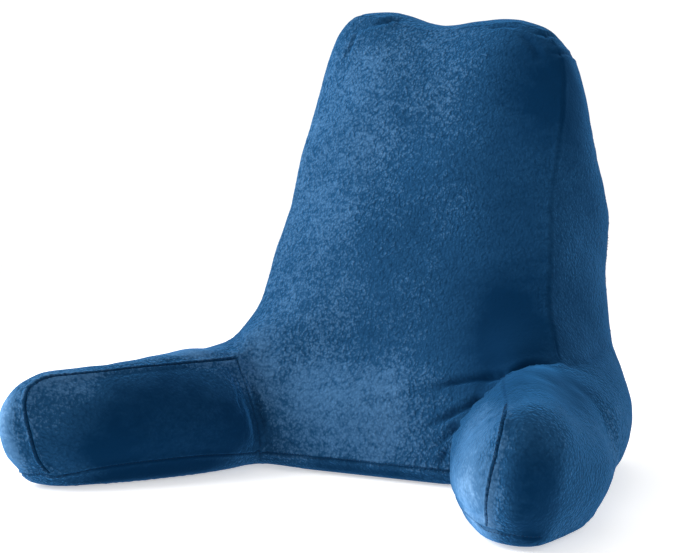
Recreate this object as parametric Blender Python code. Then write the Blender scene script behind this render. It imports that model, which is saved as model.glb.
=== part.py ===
"""Reading pillow with arms.

One stuffed cushion that stands on its own base: a backrest whose front leans back, and two
arms that splay forward from its lower corners.  Its cover is a front panel that runs on over
the arms as their bands, two inner arm panels, two side panels that each take in the side of
the backrest and the outside of an arm, a back panel and a bottom panel.

Metres.  X runs across, the arms point to -Y, Z is up, and the origin is under the middle of
the box.  The cushion starts as a block whose edges are the seams.  Its block coordinates are
  across  -2 .. 2   0 the middle, 1 the inside of an arm, 2 the side panel
  depth    0 .. 1   0 the front of the backrest, 1 its back, and down to -1 at an arm's tip
  level    0 .. 2   0 the bottom seam, 1 the top of the arms, 2 the top of the backrest
and the tables below say where the seams lie.
"""
import math

import bmesh
import bpy
import numpy as np
from mathutils import Vector, geometry

# ---------------------------------------------------------------- driving dimensions (m)

BOTTOM_ROLL = 0.022     # how far in from its seam the bottom panel lies flat
FRONT_SWELL = 0.007     # how far it swells out below the seam, under the front panel
ARM_SWELL = 0.010       # round an arm
OUTER_SWELL = 0.004     # and everywhere else
SEAM_RIDGE = 0.0025     # how far the sewn edges stand up
SIDE_CROWN = 0.014
TOP_CROWN = 0.014
FRONT_CROWN = 0.008     # the front panel's own roundness above the arms
BACK_CROWN = 0.030
TIP_BULGE = 0.024
LUMP = 0.0014           # loose filling under the cover
TOP_NOMINAL = 0.600     # level 2 before the ears are added
SADDLE = 0.22           # levels over which an arm's band turns up into the front panel
INNER_BLEND = 0.09      # stations over which an arm takes on its own section, inside
OUTER_BLEND = 0.22      # and outside
EAR_START = 1.55        # level at which the ears begin to lift the sides

# The line where the front panel meets the inside of an arm, and above it
# the same line run on up the front panel; y_middle is the front panel's middle.
#           level  x_inner y_inner z_inner y_middle
FRONT = (
    (0.00, 0.170, -0.160, 0.023, -0.170),
    (0.25, 0.176, -0.162, 0.050, -0.166),
    (0.50, 0.183, -0.165, 0.085, -0.153),
    (0.75, 0.191, -0.168, 0.120, -0.138),
    (1.00, 0.200, -0.170, 0.151, -0.124),
    (1.06, 0.192, -0.140, 0.176, -0.114),
    (1.13, 0.183, -0.108, 0.209, -0.102),
    (1.22, 0.172, -0.082, 0.250, -0.086),
    (1.40, 0.160, -0.050, 0.331, -0.056),
    (1.60, 0.151, -0.016, 0.421, -0.022),
    (1.80, 0.146, 0.018, 0.511, 0.012),
    (1.92, 0.143, 0.040, 0.565, 0.036),
    (2.00, 0.140, 0.066, 0.600, 0.064),
)

# The front edge of the side panel: the arm's outside at the root, then the seam of the backrest.
#          level  x_seam  y_seam  z_seam
SIDE = (
    (0.00, 0.312, -0.118, 0.024),
    (0.20, 0.332, -0.117, 0.045),
    (0.45, 0.337, -0.116, 0.080),
    (0.75, 0.313, -0.114, 0.122),
    (0.92, 0.282, -0.112, 0.148),
    (1.00, 0.252, -0.110, 0.165),
    (1.08, 0.241, -0.096, 0.193),
    (1.17, 0.226, -0.080, 0.228),
    (1.40, 0.211, -0.040, 0.331),
    (1.60, 0.203, -0.006, 0.421),
    (1.80, 0.199, 0.028, 0.511),
    (1.92, 0.191, 0.048, 0.565),
    (2.00, 0.188, 0.064, 0.600),
)

# The seam between the side panel and the back panel.
#          level  x_back  y_back  z_back
BACK = (
    (0.00, 0.240, 0.128, 0.022),
    (0.12, 0.250, 0.137, 0.042),
    (0.50, 0.243, 0.141, 0.100),
    (1.00, 0.226, 0.141, 0.165),
    (1.15, 0.221, 0.141, 0.220),
    (1.40, 0.219, 0.142, 0.331),
    (1.60, 0.204, 0.141, 0.421),
    (1.80, 0.184, 0.139, 0.511),
    (1.92, 0.174, 0.136, 0.565),
    (2.00, 0.168, 0.132, 0.600),
)

# The top edge of the backrest, with an ear near each end.
#        across   z_front  z_back
EARS = (
    (-2.00, 0.606, 0.600),
    (-1.50, 0.629, 0.616),
    (-1.10, 0.637, 0.628),
    (-0.75, 0.632, 0.626),
    (-0.40, 0.615, 0.613),
    (0.00, 0.606, 0.604),
    (0.40, 0.609, 0.605),
    (0.80, 0.612, 0.605),
    (1.10, 0.603, 0.596),
    (1.50, 0.596, 0.602),
    (2.00, 0.588, 0.602),
)

# The four seams of an arm, from the backrest to the tip.
#      station  inner top             outer top             inner bottom          outer bottom
ARM = (
    (0.00, 0.200, -0.170, 0.151, 0.252, -0.110, 0.165, 0.170, -0.160, 0.023, 0.312, -0.118, 0.024),
    (0.15, 0.222, -0.213, 0.148, 0.274, -0.154, 0.152, 0.174, -0.207, 0.028, 0.332, -0.160, 0.026),
    (0.35, 0.250, -0.270, 0.146, 0.302, -0.216, 0.137, 0.193, -0.270, 0.033, 0.349, -0.221, 0.027),
    (0.70, 0.297, -0.368, 0.143, 0.350, -0.325, 0.130, 0.251, -0.366, 0.030, 0.369, -0.326, 0.024),
    (1.00, 0.337, -0.452, 0.144, 0.389, -0.424, 0.130, 0.312, -0.436, 0.016, 0.366, -0.426, 0.012),
)

# How far the stuffed arm stands past the lines between its seams.
#    station   band  inside  outside
SWELL = (
    (0.00, 0.006, 0.030, 0.028),
    (0.10, 0.015, 0.031, 0.031),
    (0.25, 0.017, 0.031, 0.033),
    (0.50, 0.016, 0.031, 0.031),
    (0.80, 0.013, 0.030, 0.028),
    (1.00, 0.010, 0.028, 0.028),
)

# Folds and tucks in the cover: a trough along a line of places, each on the surface.
#    name, depth, width, places
FOLDS = (
    ("root_crease", 0.007, 0.014, ((0.078, -0.135, 0.118), (0.130, -0.140, 0.133),
                                   (0.190, -0.160, 0.152), (0.252, -0.115, 0.178))),
    ("root_fold_low", 0.007, 0.011, ((0.170, -0.150, 0.126), (0.136, -0.146, 0.101),
                                     (0.081, -0.150, 0.070))),
    ("root_fold_lowest", 0.005, 0.010, ((0.140, -0.155, 0.078), (0.098, -0.156, 0.049))),
    ("left_root_fold", 0.004, 0.010, ((-0.205, -0.150, 0.140), (-0.180, -0.152, 0.100),
                                      (-0.155, -0.158, 0.055))),
    ("left_root_tuck", 0.003, 0.010, ((-0.165, -0.135, 0.150), (-0.140, -0.148, 0.090))),
    ("left_ear_tuck", 0.006, 0.010, ((-0.150, 0.066, 0.622), (-0.110, 0.070, 0.630),
                                     (-0.070, 0.072, 0.626))),
    ("right_ear_tuck", 0.005, 0.010, ((0.050, 0.068, 0.612), (0.085, 0.070, 0.616),
                                      (0.115, 0.068, 0.612))),
    ("right_corner_fold", 0.003, 0.010, ((0.160, 0.055, 0.585), (0.180, 0.090, 0.588),
                                         (0.165, 0.125, 0.590))),
    ("left_corner_fold", 0.003, 0.010, ((-0.190, 0.060, 0.590), (-0.195, 0.095, 0.585),
                                        (-0.180, 0.125, 0.580))),
)

FOLD_END = 0.15         # share of a fold's depth at its ends
FOLD_RISE = 4           # how fast it deepens from there, over the share of its length

# Slow waves of the loose filling, in radians per metre.
#    x    y    z  start
LUMPS = (
    (31, 8, 27, 1.3),
    (23, -24, -19, 0.4),
    (-17, 29, 35, 2.1),
)

# How fast a swelling falls off: the higher, the flatter its middle and the tighter its edge.
PANEL_POWER = 4         # across a panel that lies between two seams
SIDE_POWER = 6          # up the side of the backrest
TOP_POWER = 8           # along the top of the backrest
BACK_POWER = 2.5        # across the back panel
ARM_POWER = 7           # along the sides of an arm
BAND_POWER = 8          # up an arm, at its band
TIP_POWER = 24          # along an arm, at its tip
SAG = 0.78              # under 1 the arm's sides are fullest low down
TIP_FOOT = 0.65         # share of the tip's swelling that its bottom seam takes
TIP_SEAM = 0.35         # share of the sides' swelling that the seams of the tip take

# Where the block is divided, denser beside the seams.
ACROSS_MIDDLE = (0.0, 0.12, 0.24, 0.36, 0.48, 0.60, 0.70, 0.79, 0.87, 0.94)
ACROSS_STRIP = (1.0, 1.04, 1.10, 1.19, 1.32, 1.47, 1.62, 1.77, 1.88, 1.95)
DEPTH = (0.03, 0.08, 0.19, 0.34, 0.50, 0.66, 0.82, 0.94)
LEVELS = (0.06, 0.18, 0.32, 0.46, 0.60, 0.74, 0.86, 0.95, 1.0, 1.03, 1.07, 1.12, 1.17, 1.22, 1.28,
          1.34, 1.40, 1.46, 1.52, 1.58, 1.64, 1.70, 1.76, 1.82, 1.87, 1.915, 1.95, 1.98)
STATIONS = (0.02, 0.045, 0.08, 0.13, 0.18, 0.23, 0.31, 0.39, 0.47, 0.55, 0.63, 0.71, 0.79, 0.86, 0.92, 0.97)

# Rounded corners, as shares of the block: (along the first way, along the second way)
TOP_CORNER = (0.85, 0.11)       # across, level
TIP_TOP_INNER = (0.15, 0.36)    # station, level, at the arm's inner seam
TIP_TOP_OUTER = (0.22, 0.50)    # and at its outer seam
TIP_LOW_CORNER = (0.08, 0.20)

VELOUR = (0.022, 0.085, 0.205)


# ---------------------------------------------------------------- reading the tables

def read(table, at):
    """The columns of a table at a place, on a smooth curve that never overshoots its rows."""
    rows = np.array(table, float)
    place = rows[:, 0]
    chord = np.diff(rows[:, 1:], axis=0) / np.diff(place)[:, None]
    before, after = chord[:-1], chord[1:]
    turning = before * after <= 0
    between = 2 * before * after / np.where(turning, 1.0, before + after)
    slope = np.vstack((chord[:1], np.where(turning, 0.0, between), chord[-1:]))
    at = min(max(at, place[0]), place[-1])
    row = min(max(int(np.searchsorted(place, at, side="right")) - 1, 0), len(place) - 2)
    gap = place[row + 1] - place[row]
    t = (at - place[row]) / gap
    start, end = rows[row, 1:], rows[row + 1, 1:]
    return ((2 * t**3 - 3 * t**2 + 1) * start + (t**3 - 2 * t**2 + t) * gap * slope[row]
            + (3 * t**2 - 2 * t**3) * end + (t**3 - t**2) * gap * slope[row + 1])


def ease(value):
    """0 to 1 without a kink at either end."""
    value = min(max(value, 0.0), 1.0)
    return value * value * (3 - 2 * value)


def crown(value, power):
    """1 in the middle of a panel, 0 at its seams, for a place from -1 to 1."""
    return max(0.0, 1 - abs(value) ** power)


def rounded(first, second, sizes):
    """Two places from 0 to 1, with the corner where both are 1 turned into an arc."""
    wide, high = sizes
    p = (first - (1 - wide)) / wide
    q = (second - (1 - high)) / high
    if p <= 0 or q <= 0:
        return first, second
    return (1 - wide + wide * p * math.sqrt(1 - q * q / 2),
            1 - high + high * q * math.sqrt(1 - p * p / 2))


# ---------------------------------------------------------------- from block to cushion

def backrest_place(across, depth, level):
    """Where a point of the backrest's block lies."""
    hand = -1 if across < 0 else 1
    out = abs(across)
    top_out, top_level = rounded(out / 2, level / 2, (TOP_CORNER[0] / 2, TOP_CORNER[1] / 2))
    out, level = 2 * top_out, 2 * top_level
    x_in, y_in, z_in, y_mid = read(FRONT, level)
    x_seam, y_seam, z_seam = read(SIDE, level)
    x_back, y_back, z_back = read(BACK, level)
    # the front panel and, past the arm's inside, the strip that the arm grows from
    if out <= 1:
        front = Vector((x_in * out, y_mid + (y_in - y_mid) * out**PANEL_POWER, z_in))
    else:
        front = Vector((x_in, y_in, z_in)).lerp(Vector((x_seam, y_seam, z_seam)), out - 1)
        saddle = level**BAND_POWER if level < 1 else 1 - ease((level - 1) / SADDLE)
        front.z += read(SWELL, 0)[0] * crown(2 * out - 3, 2) * saddle
    above = ease((level - 1) / SADDLE)
    share = front.x / x_seam
    round_y = y_mid + (y_seam - y_mid) * share**3 - FRONT_CROWN * crown(share, PANEL_POWER)
    front.y += (round_y - front.y) * above
    back = Vector((x_back * out / 2, y_back, z_back))
    back.y += BACK_CROWN * crown(out / 2, BACK_POWER) * crown(level - 1, PANEL_POWER)
    place = front.lerp(back, depth)
    middle = crown(2 * depth - 1, 2)
    place.x += SIDE_CROWN * middle * crown(level - 1, SIDE_POWER) * max(0.0, out - 1) ** 3
    # the ears
    z_front, z_rear = read(EARS, hand * out)
    rise = z_front + (z_rear - z_front) * depth + TOP_CROWN * middle * crown(out / 2, TOP_POWER)
    place.z += (rise - TOP_NOMINAL) * ease((level - EAR_START) / (2 - EAR_START))
    place.x *= hand
    return place


def arm_place(across, station, level):
    """Where a point of an arm's block lies; the root ring is the backrest's own."""
    hand = -1 if across < 0 else 1
    wide = abs(across) - 1
    root = backrest_place(abs(across), 0.0, level)
    corner_size = Vector(TIP_TOP_INNER).lerp(Vector(TIP_TOP_OUTER), wide)
    station, level = rounded(station, level, corner_size)
    station, low = rounded(station, 1 - level, TIP_LOW_CORNER)
    level = 1 - low
    row, first = read(ARM, station), read(ARM, 0.0)

    def corner(values):
        """A point between the four seams."""
        top = Vector(values[0:3]).lerp(Vector(values[3:6]), wide)
        bottom = Vector(values[6:9]).lerp(Vector(values[9:12]), wide)
        return bottom.lerp(top, level)

    place = corner(row)
    along = (Vector(row[0:3]) - Vector(first[0:3])).normalized() if station > 0 else Vector((0, -1, 0))
    along.z = 0
    outward = Vector((-along.y, along.x, 0))
    band, inside, outside = read(SWELL, station)
    round_side = crown(2 * level**SAG - 1, 2) * (1 - (1 - TIP_SEAM) * station**ARM_POWER)
    place -= outward * inside * round_side * (1 - wide) ** PANEL_POWER
    place += outward * outside * round_side * wide**PANEL_POWER
    between_seams = crown(2 * wide - 1, 2)
    place.z += band * between_seams * level**BAND_POWER
    round_tip = TIP_FOOT + (1 - TIP_FOOT) * crown(2 * level**SAG - 1, 2)
    place += along * TIP_BULGE * between_seams * round_tip * station**TIP_POWER
    grown = root + corner(row) - corner(first)
    place = grown.lerp(place, ease(station / (INNER_BLEND + (OUTER_BLEND - INNER_BLEND) * wide)))
    place.x *= hand
    return place


def block():
    """The block: a backrest with two arms drawn forward from its front, cut into panels."""
    mesh = bmesh.new()
    bmesh.ops.create_cube(mesh, size=1.0)
    for vert in mesh.verts:
        vert.co = Vector((vert.co.x * 4, vert.co.y + 0.5, (vert.co.z + 0.5) * 2))

    def cut(place, way):
        bmesh.ops.bisect_plane(mesh, geom=mesh.verts[:] + mesh.edges[:] + mesh.faces[:],
                               plane_co=place, plane_no=way, dist=1e-6)

    for across in ACROSS_MIDDLE + ACROSS_STRIP:
        for hand in (-1, 1) if across else (1,):
            cut((hand * across, 0, 0), (1, 0, 0))
    for level in LEVELS:
        cut((0, 0, level), (0, 0, 1))
    for depth in DEPTH:
        cut((0, depth, 0), (0, 1, 0))
    roots = []
    for face in mesh.faces:
        centre = face.calc_center_median()
        if centre.y < 1e-4 and abs(centre.x) > 1 and centre.z < 1:
            roots.append(face)
    drawn = bmesh.ops.extrude_face_region(mesh, geom=roots)["geom"]
    bmesh.ops.delete(mesh, geom=[face for face in roots if face.is_valid], context="FACES")
    for item in drawn:
        if isinstance(item, bmesh.types.BMVert):
            item.co.y -= 1
    for station in STATIONS:
        cut((0, -station, 0), (0, 1, 0))
    return mesh


def is_seam(across, depth, level):
    """Whether a block point is on an edge where two panels are sewn."""
    out = abs(across)
    near = 1e-4
    side, inner = abs(out - 2) < near, abs(out - 1) < near
    tip, front, back = abs(depth + 1) < near, abs(depth) < near, abs(depth - 1) < near
    low, shelf, top = level < near, abs(level - 1) < near, abs(level - 2) < near
    bottom_edge = low and (side or back or tip or (inner and depth < near) or (front and out < 1))
    arm_edge = shelf and depth < near and (side or inner)
    tip_edge = tip and (side or inner)
    root_edge = front and inner and level < 1 + near
    rest_edge = level > 1 - near and ((side and (front or back)) or (top and (front or back)))
    back_edge = side and back
    return bottom_edge or arm_edge or tip_edge or root_edge or rest_edge or back_edge


def roll_under(bottom, edge):
    """The bottom panel swells out below its seam, turns under and lies flat at z = 0."""
    for vert in bottom:
        flat = Vector((vert.co.x, vert.co.y, 0))
        near, swell = min(edge, key=lambda item: (item[0].xy - flat.xy).length)
        out = Vector((near.x, near.y, 0)) - flat
        away = min(out.length / BOTTOM_ROLL, 1.0)
        vert.co += out.normalized() * swell * crown(2 * away - 1, 2)
        vert.co.z = near.z * (1 - math.sqrt(1 - (1 - away) ** 2))


def fold_depth(place):
    """How far the folds draw the cover in at a place."""
    drawn = 0.0
    for _, depth, width, line in FOLDS:
        pieces = len(line) - 1
        for index in range(pieces):
            start, end = Vector(line[index]), Vector(line[index + 1])
            near, share = geometry.intersect_point_line(place, start, end)
            share = min(max(share, 0.0), 1.0)
            near = start.lerp(end, share)
            run = (index + share) / pieces
            fade = min(1.0, FOLD_END + FOLD_RISE * run, FOLD_END + FOLD_RISE * (1 - run))
            drawn = max(drawn, fade * depth * math.exp(-((place - near).length / width) ** 2))
    return drawn


def lump(place):
    """Slow swells of the filling."""
    return LUMP * sum(math.sin(Vector(waves).dot(place) + start) for *waves, start in LUMPS)


def cushion_mesh():
    """The finished cushion as a mesh, centred over the origin and standing at z = 0."""
    mesh = block()
    for edge in mesh.edges:
        middle = (edge.verts[0].co + edge.verts[1].co) / 2
        edge.seam = is_seam(*middle)
    seams, bottom, bottom_edge = [], [], []
    for vert in mesh.verts:
        across, depth, level = vert.co
        sewn = is_seam(across, depth, level)
        if sewn:
            seams.append(vert)
        if level < 1e-4:
            if sewn:
                inside = abs(across) < 1 + 1e-4 and depth < 1e-4
                swell = FRONT_SWELL if inside else OUTER_SWELL
                swell += (ARM_SWELL - swell) * ease(-depth / OUTER_BLEND)
                bottom_edge.append((vert, swell))
            else:
                bottom.append(vert)
        if depth < -1e-5:
            vert.co = arm_place(across, -depth, level)
        else:
            vert.co = backrest_place(across, depth, level)
    roll_under(bottom, [(vert.co.copy(), swell) for vert, swell in bottom_edge])
    bmesh.ops.smooth_vert(mesh, verts=bottom, factor=0.5, use_axis_x=True, use_axis_y=True)
    mesh.normal_update()
    still = set(bottom)
    ridge = set(seams)
    for vert in mesh.verts:
        if vert in still:
            continue
        shift = lump(vert.co) - fold_depth(vert.co)
        if vert in ridge:
            shift += SEAM_RIDGE
        vert.co += vert.normal * shift
    low = [min(vert.co[axis] for vert in mesh.verts) for axis in range(3)]
    high = [max(vert.co[axis] for vert in mesh.verts) for axis in range(3)]
    centre = Vector(((low[0] + high[0]) / 2, (low[1] + high[1]) / 2, low[2]))
    for vert in mesh.verts:
        vert.co -= centre
    bmesh.ops.triangulate(mesh, faces=mesh.faces[:], quad_method="BEAUTY")
    return mesh


def velour():
    """The pillow's plush cover."""
    material = bpy.data.materials.new("velour")
    material.use_nodes = True
    shader = material.node_tree.nodes["Principled BSDF"]
    shader.inputs["Base Color"].default_value = (*VELOUR, 1)
    shader.inputs["Roughness"].default_value = 0.85
    shader.inputs["Metallic"].default_value = 0.0
    shader.inputs["Sheen Weight"].default_value = 0.5
    return material


def main():
    for item in list(bpy.data.objects):
        bpy.data.objects.remove(item)
    collection = bpy.data.collections.new("reading_pillow")
    bpy.context.scene.collection.children.link(collection)
    shape = cushion_mesh()
    data = bpy.data.meshes.new("cushion")
    shape.to_mesh(data)
    shape.free()
    data.shade_smooth()
    data.materials.append(velour())
    collection.objects.link(bpy.data.objects.new("cushion", data))


main()
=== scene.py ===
"""Reading pillow with arms: the plush cover, its sewn seams and the studio it stands in.

Metres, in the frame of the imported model: X across, the arms point to -Y, Z up, and the pillow
stands on z = 0.  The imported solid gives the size; the cover is remeshed from it, stuffed with
Blender's cloth simulation while its seams are held, and then sewn, creased and brushed.
"""
import heapq
import math
import bmesh
import bpy
import numpy as np
from bpy.props import (BoolProperty, FloatProperty, FloatVectorProperty, IntProperty,
                       PointerProperty)
from mathutils import Euler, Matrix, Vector, kdtree
from mathutils.bvhtree import BVHTree


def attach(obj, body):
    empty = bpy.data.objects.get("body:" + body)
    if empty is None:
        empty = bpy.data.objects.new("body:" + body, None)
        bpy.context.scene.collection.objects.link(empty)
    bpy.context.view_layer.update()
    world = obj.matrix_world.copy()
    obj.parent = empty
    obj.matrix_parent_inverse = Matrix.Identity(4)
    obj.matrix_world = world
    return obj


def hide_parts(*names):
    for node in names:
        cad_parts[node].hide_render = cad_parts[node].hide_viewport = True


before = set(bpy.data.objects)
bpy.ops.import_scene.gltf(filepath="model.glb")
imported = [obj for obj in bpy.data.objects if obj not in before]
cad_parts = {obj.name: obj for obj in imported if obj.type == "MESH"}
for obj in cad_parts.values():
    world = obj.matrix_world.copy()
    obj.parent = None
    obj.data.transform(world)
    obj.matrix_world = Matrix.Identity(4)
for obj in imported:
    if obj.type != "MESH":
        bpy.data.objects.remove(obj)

bl_info = {
    "name": "Reading Pillow",
    "version": (1, 0, 0),
    "blender": (4, 5, 0),
    "location": "View3D > Sidebar > Pillow",
    "description": "Builds a stuffed velour reading pillow with arms and its studio",
    "category": "Object",
}

NODE = "cushion"

# The camera that took the picture, in the picture's own pixels.
PICTURE = (679, 553)
CAMERA_AT = (0.9336, -1.5993, 0.3580)
CAMERA_AZIMUTH = 29.6
CAMERA_ELEVATION = 3.28
FOCAL_PIXELS = 1410.0
CENTRE_PIXEL = (388.2, 286.6)
SENSOR = 36.0

# ---------------------------------------------------------------- where the cover is sewn
# hands: the sides that have a seam, as signs of X; one in the middle is drawn as it is written.
BOTH, RIGHT, LEFT, MIDDLE = (1, -1), (1,), (-1,), (1,)

# fine: whether the mesh is cut finer along the seam; traced: whether it follows the solid's
# sharp edges between the places, or is drawn through them on the surface; strength: how clearly
# the sewn ridges stand up.
#    name          hands   fine  traced strength  places
SEAMS = (
    ("arm_top", LEFT, True, True, 0.90,
     ((0.200, -0.027, 0.151), (0.250, -0.127, 0.146), (0.297, -0.225, 0.143),
      (0.334, -0.298, 0.090), (0.313, -0.293, 0.018))),
    ("arm_top_back", RIGHT, True, True, 0.22,
     ((0.200, -0.027, 0.151), (0.250, -0.127, 0.146), (0.290, -0.210, 0.143))),
    ("arm_top_middle", RIGHT, True, True, 0.50,
     ((0.290, -0.210, 0.143), (0.312, -0.255, 0.130))),
    ("arm_top_front", RIGHT, True, True, 0.90,
     ((0.312, -0.255, 0.130), (0.334, -0.298, 0.090), (0.313, -0.293, 0.018))),
    ("arm_root", BOTH, True, True, 0.45,
     ((0.200, -0.027, 0.151), (0.183, -0.022, 0.085), (0.170, -0.017, 0.023))),
    ("arm_foot", BOTH, True, False, 0.42,
     ((0.170, -0.017, 0.023), (0.175, -0.064, 0.028), (0.194, -0.127, 0.033),
      (0.222, -0.175, 0.032), (0.252, -0.223, 0.030), (0.282, -0.259, 0.024),
      (0.313, -0.293, 0.018))),
    ("tip_foot", BOTH, True, False, 0.30,
     ((0.313, -0.293, 0.018), (0.345, -0.298, 0.015), (0.367, -0.283, 0.013))),
    ("arm_side", BOTH, False, True, 0.07,
     ((0.367, -0.283, 0.013), (0.386, -0.270, 0.080), (0.350, -0.182, 0.130),
      (0.303, -0.073, 0.137), (0.275, -0.011, 0.152), (0.252, 0.033, 0.165))),
    ("side_front", BOTH, True, True, 0.24,
     ((0.252, 0.033, 0.165), (0.226, 0.063, 0.228), (0.211, 0.103, 0.331),
      (0.199, 0.171, 0.511), (0.140, 0.203, 0.608))),
    ("side_foot", BOTH, False, True, 0.35,
     ((0.367, -0.283, 0.013), (0.349, -0.078, 0.027), (0.312, 0.025, 0.024),
      (0.240, 0.271, 0.022))),
    ("side_back", BOTH, True, True, 0.35,
     ((0.240, 0.271, 0.022), (0.219, 0.285, 0.331), (0.184, 0.282, 0.511),
      (0.130, 0.280, 0.600))),
    ("top_front", MIDDLE, True, True, 0.24,
     ((0.140, 0.203, 0.608), (0.000, 0.203, 0.604), (-0.140, 0.203, 0.630))),
    ("top_back", MIDDLE, True, True, 0.35,
     ((0.130, 0.280, 0.600), (0.000, 0.280, 0.604), (-0.130, 0.280, 0.620))),
    ("front_foot", MIDDLE, True, True, 0.55,
     ((0.170, -0.017, 0.023), (0.000, -0.027, 0.023), (-0.170, -0.017, 0.023))),
    ("back_foot", MIDDLE, False, True, 0.35,
     ((0.240, 0.271, 0.022), (0.000, 0.273, 0.022), (-0.240, 0.271, 0.022))),
)

# Creases and tucks in the cover, laid on the surface through pixels of the picture and, where
# the arm hides them from it, on through places.  depth and width in millimetres; lip: how far
# the cloth beside the crease stands up, as a share of the depth.
#    name                 depth width  lip   pixels, places
CREASES = (
    ("right_arm_root", 8.0, 5.0, 0.25, ((433, 390), (455, 384), (475, 380), (495, 378),
                                        (0.203, -0.018, 0.152), (0.230, 0.004, 0.157),
                                        (0.256, 0.030, 0.160))),
    ("right_side_fold", 2.0, 6.0, 0.40, ((566, 366), (587, 362), (603, 350))),
    ("right_second", 6.0, 5.0, 0.45, ((493, 391), (470, 407), (450, 418), (428, 428))),
    ("right_third", 4.5, 5.0, 0.45, ((462, 423), (450, 437), (437, 447))),
    ("right_fourth", 3.0, 4.5, 0.45, ((448, 450), (439, 465))),
    ("left_root_first", 2.2, 4.0, 0.6, ((239, 362), (250, 385), (260, 415), (265, 435))),
    ("left_root_second", 1.5, 4.0, 0.6, ((243, 352), (262, 380), (272, 402))),
    ("left_root_third", 1.2, 4.0, 0.6, ((268, 425), (283, 440), (300, 447))),
    ("left_band_first", 1.4, 3.0, 0.6, ((233, 329), (233, 350))),
    ("left_band_second", 1.4, 3.0, 0.6, ((238, 329), (242, 341))),
    ("left_band_third", 1.2, 3.0, 0.6, ((224, 336), (229, 352))),
    ("left_inner_first", 1.2, 4.0, 0.6, ((229, 366), (238, 392), (246, 420))),
    ("left_ear_tuck", 4.5, 5.0, 0.4, ((372, 24), (388, 19), (402, 21))),
    ("left_ear_fold", 2.2, 4.0, 0.5, ((357, 30), (352, 44), (345, 60))),
    ("right_ear_tuck", 3.5, 5.0, 0.4, ((488, 27), (503, 24), (520, 26))),
    ("right_corner_first", 3.0, 4.5, 0.5, ((533, 33), (548, 33), (561, 38))),
    ("right_corner_second", 2.4, 4.0, 0.5, ((547, 53), (562, 52), (574, 56))),
    ("right_corner_third", 2.0, 5.0, 0.5, ((520, 34), (533, 44), (541, 60))),
    ("left_tip_dart", 2.2, 3.0, 0.4, ((39, 468), (32, 476))),
)

# Where the filling was pushed in or pulled out: soft moves about a place, which fade
# over the radius.
#    name               hands  place                    radius  move
PUSHES = (
    ("tip_low_outer", BOTH, (0.372, -0.286, 0.018), 0.052, (-0.006, 0.003, 0.002)),
    ("tip_low_inner", BOTH, (0.313, -0.300, 0.006), 0.028, (0.002, 0.006, 0.004)),
    ("tip_high_outer", BOTH, (0.355, -0.290, 0.128), 0.030, (0.003, -0.003, 0.003)),
    ("left_band_root", LEFT, (0.252, -0.026, 0.168), 0.028, (0.000, 0.000, -0.005)),
)


# ---------------------------------------------------------------- settings

TUFT_SIZE = 0.0037
CLOUD_SIZE = 0.110


class PillowCover(bpy.types.PropertyGroup):
    """Sizes of the cover and of its seams"""
    cell: FloatProperty(name="Cell", description="Cell size of the remeshed cover",
                        default=0.0060, unit="LENGTH")
    pressure: FloatProperty(name="Stuffing", description="Pressure of the filling", default=2.0)
    slack: FloatProperty(name="Slack", description="Share by which the cloth is cut too large",
                         default=0.004, subtype="FACTOR")
    steps: IntProperty(name="Steps", description="Frames of the stuffing simulation", default=20)
    swell_limit: FloatProperty(name="Swell limit", description="Farthest a point may move",
                               default=0.0055, unit="LENGTH")
    ridge: FloatProperty(name="Ridge", description="Height of the sewn ridges", default=0.0025,
                         unit="LENGTH")
    ridge_offset: FloatProperty(name="Ridge offset", description="From the seam to a ridge's top",
                                default=0.0031, unit="LENGTH")
    groove: FloatProperty(name="Groove", description="Depth of the stitched line",
                          default=0.0030, unit="LENGTH")
    pucker: FloatProperty(name="Pucker", description="Height of the gathers beside a seam",
                          default=0.0003, unit="LENGTH")
    simulate: BoolProperty(name="Simulate", description="Run the stuffing simulation",
                           default=True)


class PillowThread(bpy.types.PropertyGroup):
    """The sewing thread"""
    stitch: FloatProperty(name="Stitch", description="Length of a stitch", default=0.0030,
                          unit="LENGTH")
    pitch: FloatProperty(name="Pitch", description="From one stitch to the next",
                         default=0.0042, unit="LENGTH")
    gauge: FloatProperty(name="Gauge", description="Radius of the thread", default=0.00035,
                         unit="LENGTH")
    sink: FloatProperty(name="Sink", description="How far the thread lies below the ridges",
                        default=0.0006, unit="LENGTH")


class PillowVelour(bpy.types.PropertyGroup):
    """Colours and nap of the velour"""
    # darkest stop of the pile's ramp, used mostly for painted shade
    deep: FloatVectorProperty(name="Deep", description="Pile brushed away from the light",
                              subtype="COLOR", size=4, default=(0.0006, 0.0205, 0.0630, 1.0))
    middle: FloatVectorProperty(name="Middle", description="Pile at rest", subtype="COLOR",
                                size=4, default=(0.0100, 0.0570, 0.1400, 1.0))
    # bright stop of the pile's ramp, used mostly for painted light
    brushed: FloatVectorProperty(name="Brushed", description="Pile brushed towards the light",
                                 subtype="COLOR", size=4, default=(0.0620, 0.1620, 0.3150, 1.0))
    # brightest stop of the pile's ramp: a painted sheen highlight
    painted_sheen: FloatVectorProperty(name="Silver", description="Pile where it shines most",
                                subtype="COLOR", size=4, default=(0.2300, 0.4300, 0.7000, 1.0))
    sheen: FloatProperty(name="Sheen", description="Sheen of the pile", default=0.45,
                         subtype="FACTOR")
    nap: FloatProperty(name="Nap", description="Size of the curled tufts", default=TUFT_SIZE,
                       unit="LENGTH")
    cloud: FloatProperty(name="Cloud", description="Size of the brushed clouds",
                         default=CLOUD_SIZE, unit="LENGTH")


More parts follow.
